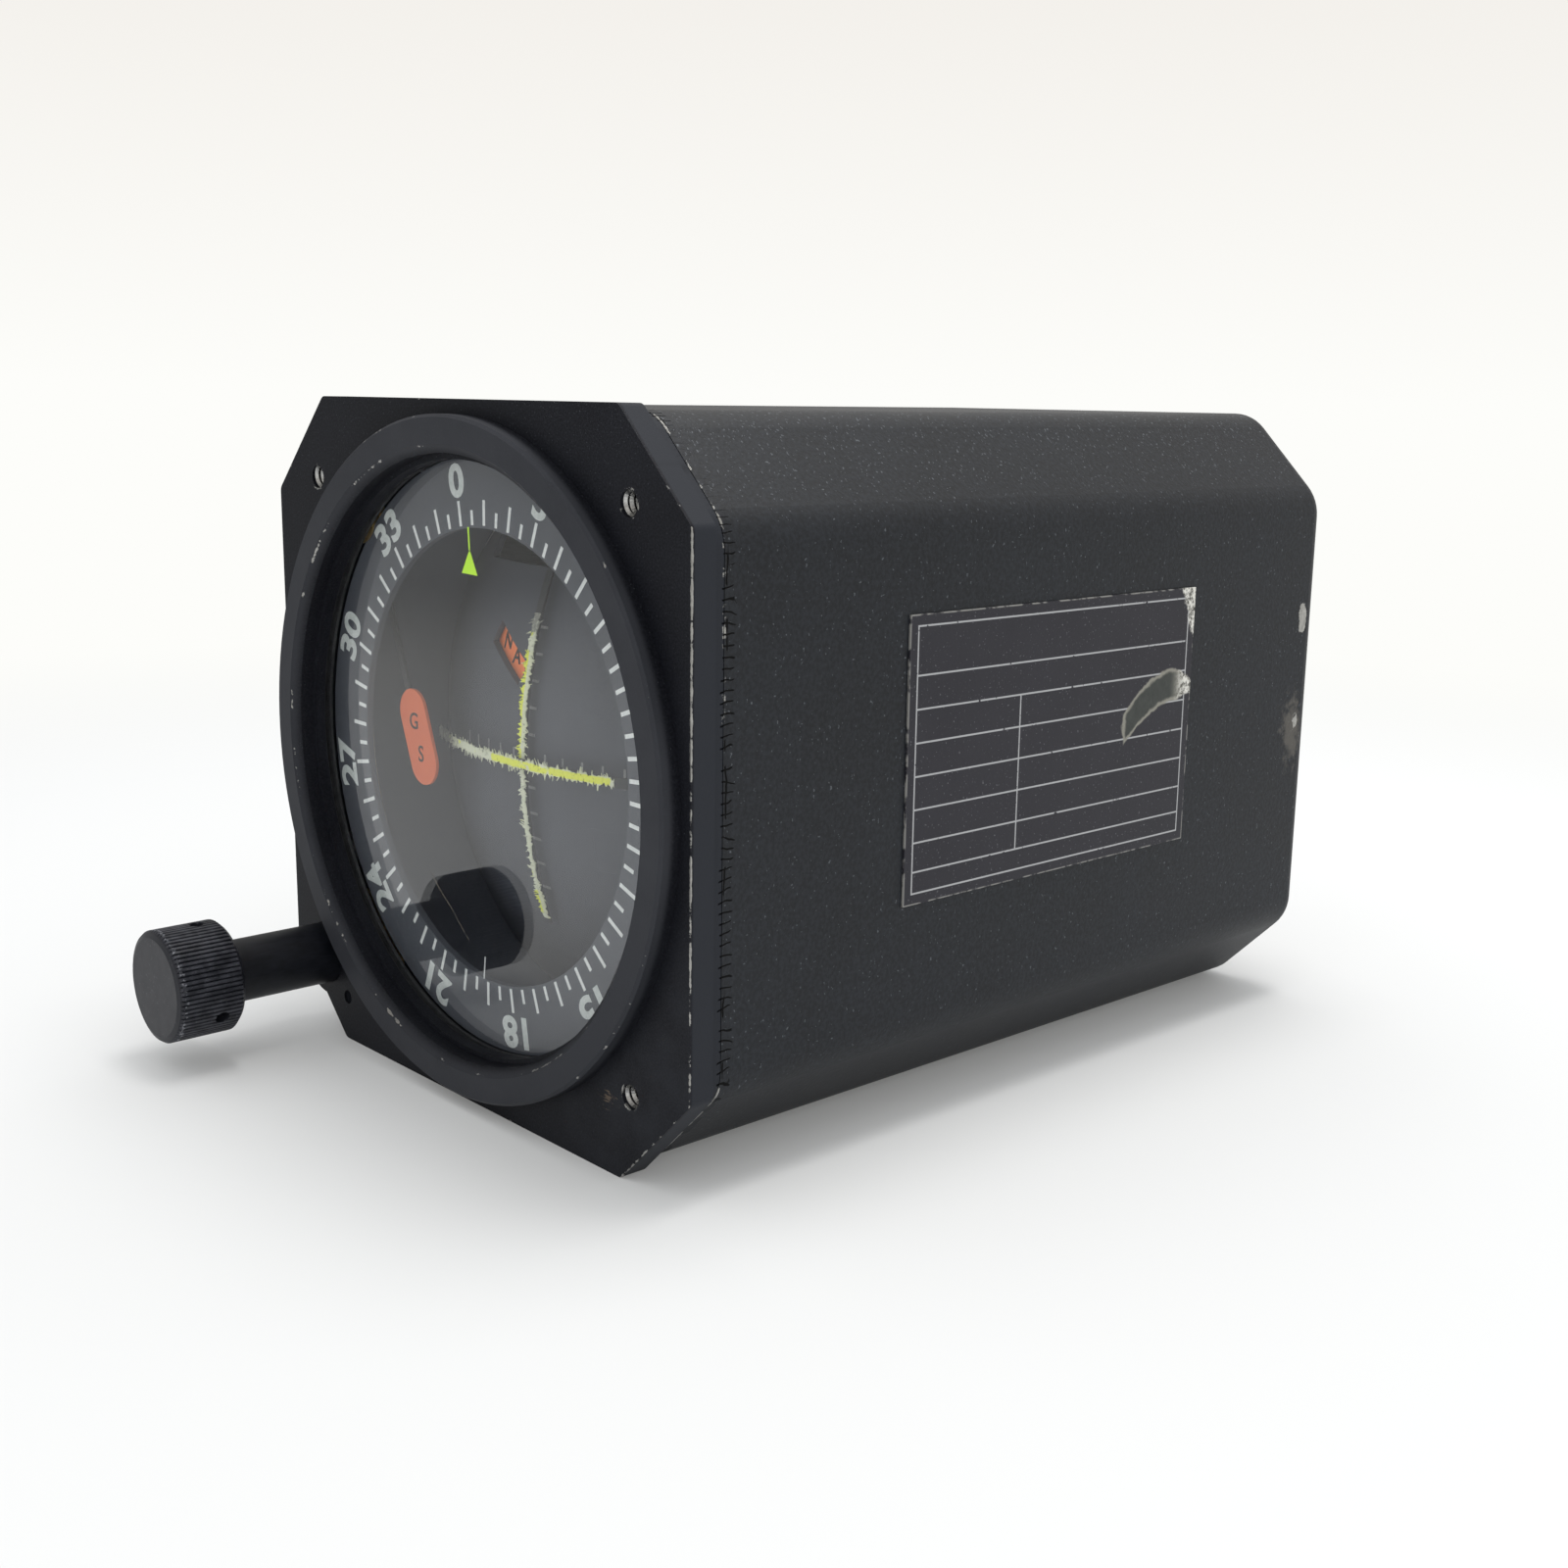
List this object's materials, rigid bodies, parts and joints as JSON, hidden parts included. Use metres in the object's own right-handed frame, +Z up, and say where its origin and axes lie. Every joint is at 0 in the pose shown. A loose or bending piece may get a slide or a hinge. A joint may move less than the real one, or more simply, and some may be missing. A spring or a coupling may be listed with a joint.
{
  "type": "aircraft navigation indicator",
  "caption": "Panel-mounted course and glideslope deviation indicator with a square flange, round window, turning compass card, crossed needles and a corner selector knob.",
  "frame": {"origin": "where the dial's axis meets the front plane of the flange", "axes": "+X to the right as seen by the pilot, +Y into the panel along the dial's axis, +Z up"},
  "size_m": [0.0826, 0.1428, 0.0826],
  "materials": {
    "flange_paint": "satin black, edges worn to bright metal",
    "case_paint": "fine-textured matt black",
    "window": "clear, lightly scratched",
    "seal_rubber": "matt black",
    "spring_steel": "dark steel",
    "plated_steel": "bright plated",
    "card_face": "matt black with white marks",
    "gear_brass": "cut brass",
    "knob_black": "satin black, straight knurls",
    "shaft_black": "black finished shaft",
    "chassis_metal": "machined",
    "mask_black": "matt black with white marks",
    "needle_paint": "flaked yellow and white paint on a dark arm",
    "flag_paint": "orange with dark letters",
    "movement_can": "grey coated",
    "board_green": "coated circuit board",
    "component_black": "moulded component cases",
    "connector_black": "moulded insert",
    "contact_gold": "gold-coloured contacts",
    "plate_foil": "printed foil, scuffed"
  },
  "bodies": {
    "instrument": {"front_flange": "flange_paint", "glass_gasket": "seal_rubber", "window_glass": "window", "glass_clip": "spring_steel", "roller_pins": "plated_steel", "resolver_body": "movement_can", "dial_mask": "mask_black", "light_shield": "mask_black", "cdi_meter": "movement_can", "gs_meter": "movement_can", "nav_flag_movement": "movement_can", "gs_flag_movement": "movement_can", "to_from_movement": "movement_can", "mechanism_plate": "chassis_metal", "resolver_plate": "chassis_metal", "movement_plate": "chassis_metal", "front_board": "board_green", "rear_board": "board_green", "board_components": "component_black", "chassis_pillars": "chassis_metal", "rear_screws": "plated_steel", "case": "case_paint", "rear_plate": "chassis_metal", "rear_connector": "plated_steel", "connector_insert": "connector_black", "connector_pins": "contact_gold", "jack_sockets": "plated_steel", "data_plate": "plate_foil"},
    "card": {"compass_card": "card_face", "card_gear": "gear_brass"},
    "roller_right": {"card_roller_right": "gear_brass"},
    "roller_left": {"card_roller_left": "gear_brass"},
    "roller_low": {"card_roller_low": "gear_brass"},
    "knob": {"obs_knob": "knob_black", "knob_set_screws": "spring_steel", "obs_shaft": "shaft_black", "shaft_pinion": "gear_brass"},
    "idler": {"idler_shaft": "plated_steel", "idler_gear": "gear_brass", "resolver_pinion": "gear_brass"},
    "resolver_rotor": {"resolver_gear": "gear_brass", "resolver_shaft": "plated_steel"},
    "course_needle": {"cdi_needle": "needle_paint"},
    "slope_needle": {"gs_needle": "needle_paint"},
    "course_flag": {"nav_flag": "flag_paint"},
    "slope_flag": {"gs_flag": "flag_paint"},
    "direction_vane": {"to_from_vane": "mask_black"}
  },
  "joints": [
    {"name": "card_spin", "type": "hinge", "parent": "instrument", "child": "card", "pos_m": [0, 0.00445, 0], "axis": [0, 1, 0], "continuous": true},
    {"name": "roller_right_spin", "type": "hinge", "parent": "instrument", "child": "roller_right", "pos_m": [0.02705, 0.0045, 0.02705], "axis": [0, 1, 0], "continuous": true},
    {"name": "roller_left_spin", "type": "hinge", "parent": "instrument", "child": "roller_left", "pos_m": [-0.02705, 0.0045, 0.02705], "axis": [0, 1, 0], "continuous": true},
    {"name": "roller_low_spin", "type": "hinge", "parent": "instrument", "child": "roller_low", "pos_m": [0.02705, 0.0045, -0.02705], "axis": [0, 1, 0], "continuous": true},
    {"name": "knob_spin", "type": "hinge", "parent": "instrument", "child": "knob", "pos_m": [-0.0339, 0, -0.0307], "axis": [0, 1, 0], "continuous": true},
    {"name": "idler_spin", "type": "hinge", "parent": "instrument", "child": "idler", "pos_m": [-0.02729, 0.022, -0.02716], "axis": [0, 1, 0], "continuous": true},
    {"name": "resolver_spin", "type": "hinge", "parent": "instrument", "child": "resolver_rotor", "pos_m": [-0.01244, 0.024, -0.01231], "axis": [0, 1, 0], "continuous": true},
    {"name": "course_needle_swing", "type": "hinge", "parent": "instrument", "child": "course_needle", "pos_m": [0, 0.07, -0.0008], "axis": [0, 0, 1], "range_deg": [-16, 14.9], "stiffness_Nm_per_rad": 0.002},
    {"name": "slope_needle_swing", "type": "hinge", "parent": "instrument", "child": "slope_needle", "pos_m": [0, 0.07, -0.0008], "axis": [1, 0, 0], "range_deg": [-15.5, 15.5], "stiffness_Nm_per_rad": 0.01},
    {"name": "course_flag_turn", "type": "hinge", "parent": "instrument", "child": "course_flag", "pos_m": [0, 0.014, -0.0008], "axis": [0, -1, 0], "range_deg": [0, 52], "stiffness_Nm_per_rad": 0.001, "springref_deg": -28.65},
    {"name": "slope_flag_swing", "type": "hinge", "parent": "instrument", "child": "slope_flag", "pos_m": [-0.0296, 0.008, 0.02576], "axis": [0, 1, 0], "range_deg": [0, 30], "stiffness_Nm_per_rad": 0.001, "springref_deg": -28.65},
    {"name": "direction_vane_swing", "type": "hinge", "parent": "instrument", "child": "direction_vane", "pos_m": [0.0125, 0.02, -0.025], "axis": [0, 1, 0], "range_deg": [-5.5, 5.5], "stiffness_Nm_per_rad": 0.005}
  ],
  "couplings": [
    {"joint": "roller_right_spin", "follows": "card_spin", "ratio": -10.938},
    {"joint": "roller_left_spin", "follows": "card_spin", "ratio": -10.938},
    {"joint": "roller_low_spin", "follows": "card_spin", "ratio": -10.938},
    {"joint": "knob_spin", "follows": "card_spin", "ratio": 16.5},
    {"joint": "idler_spin", "follows": "card_spin", "ratio": -6},
    {"joint": "resolver_spin", "follows": "card_spin", "ratio": 1}
  ]
}
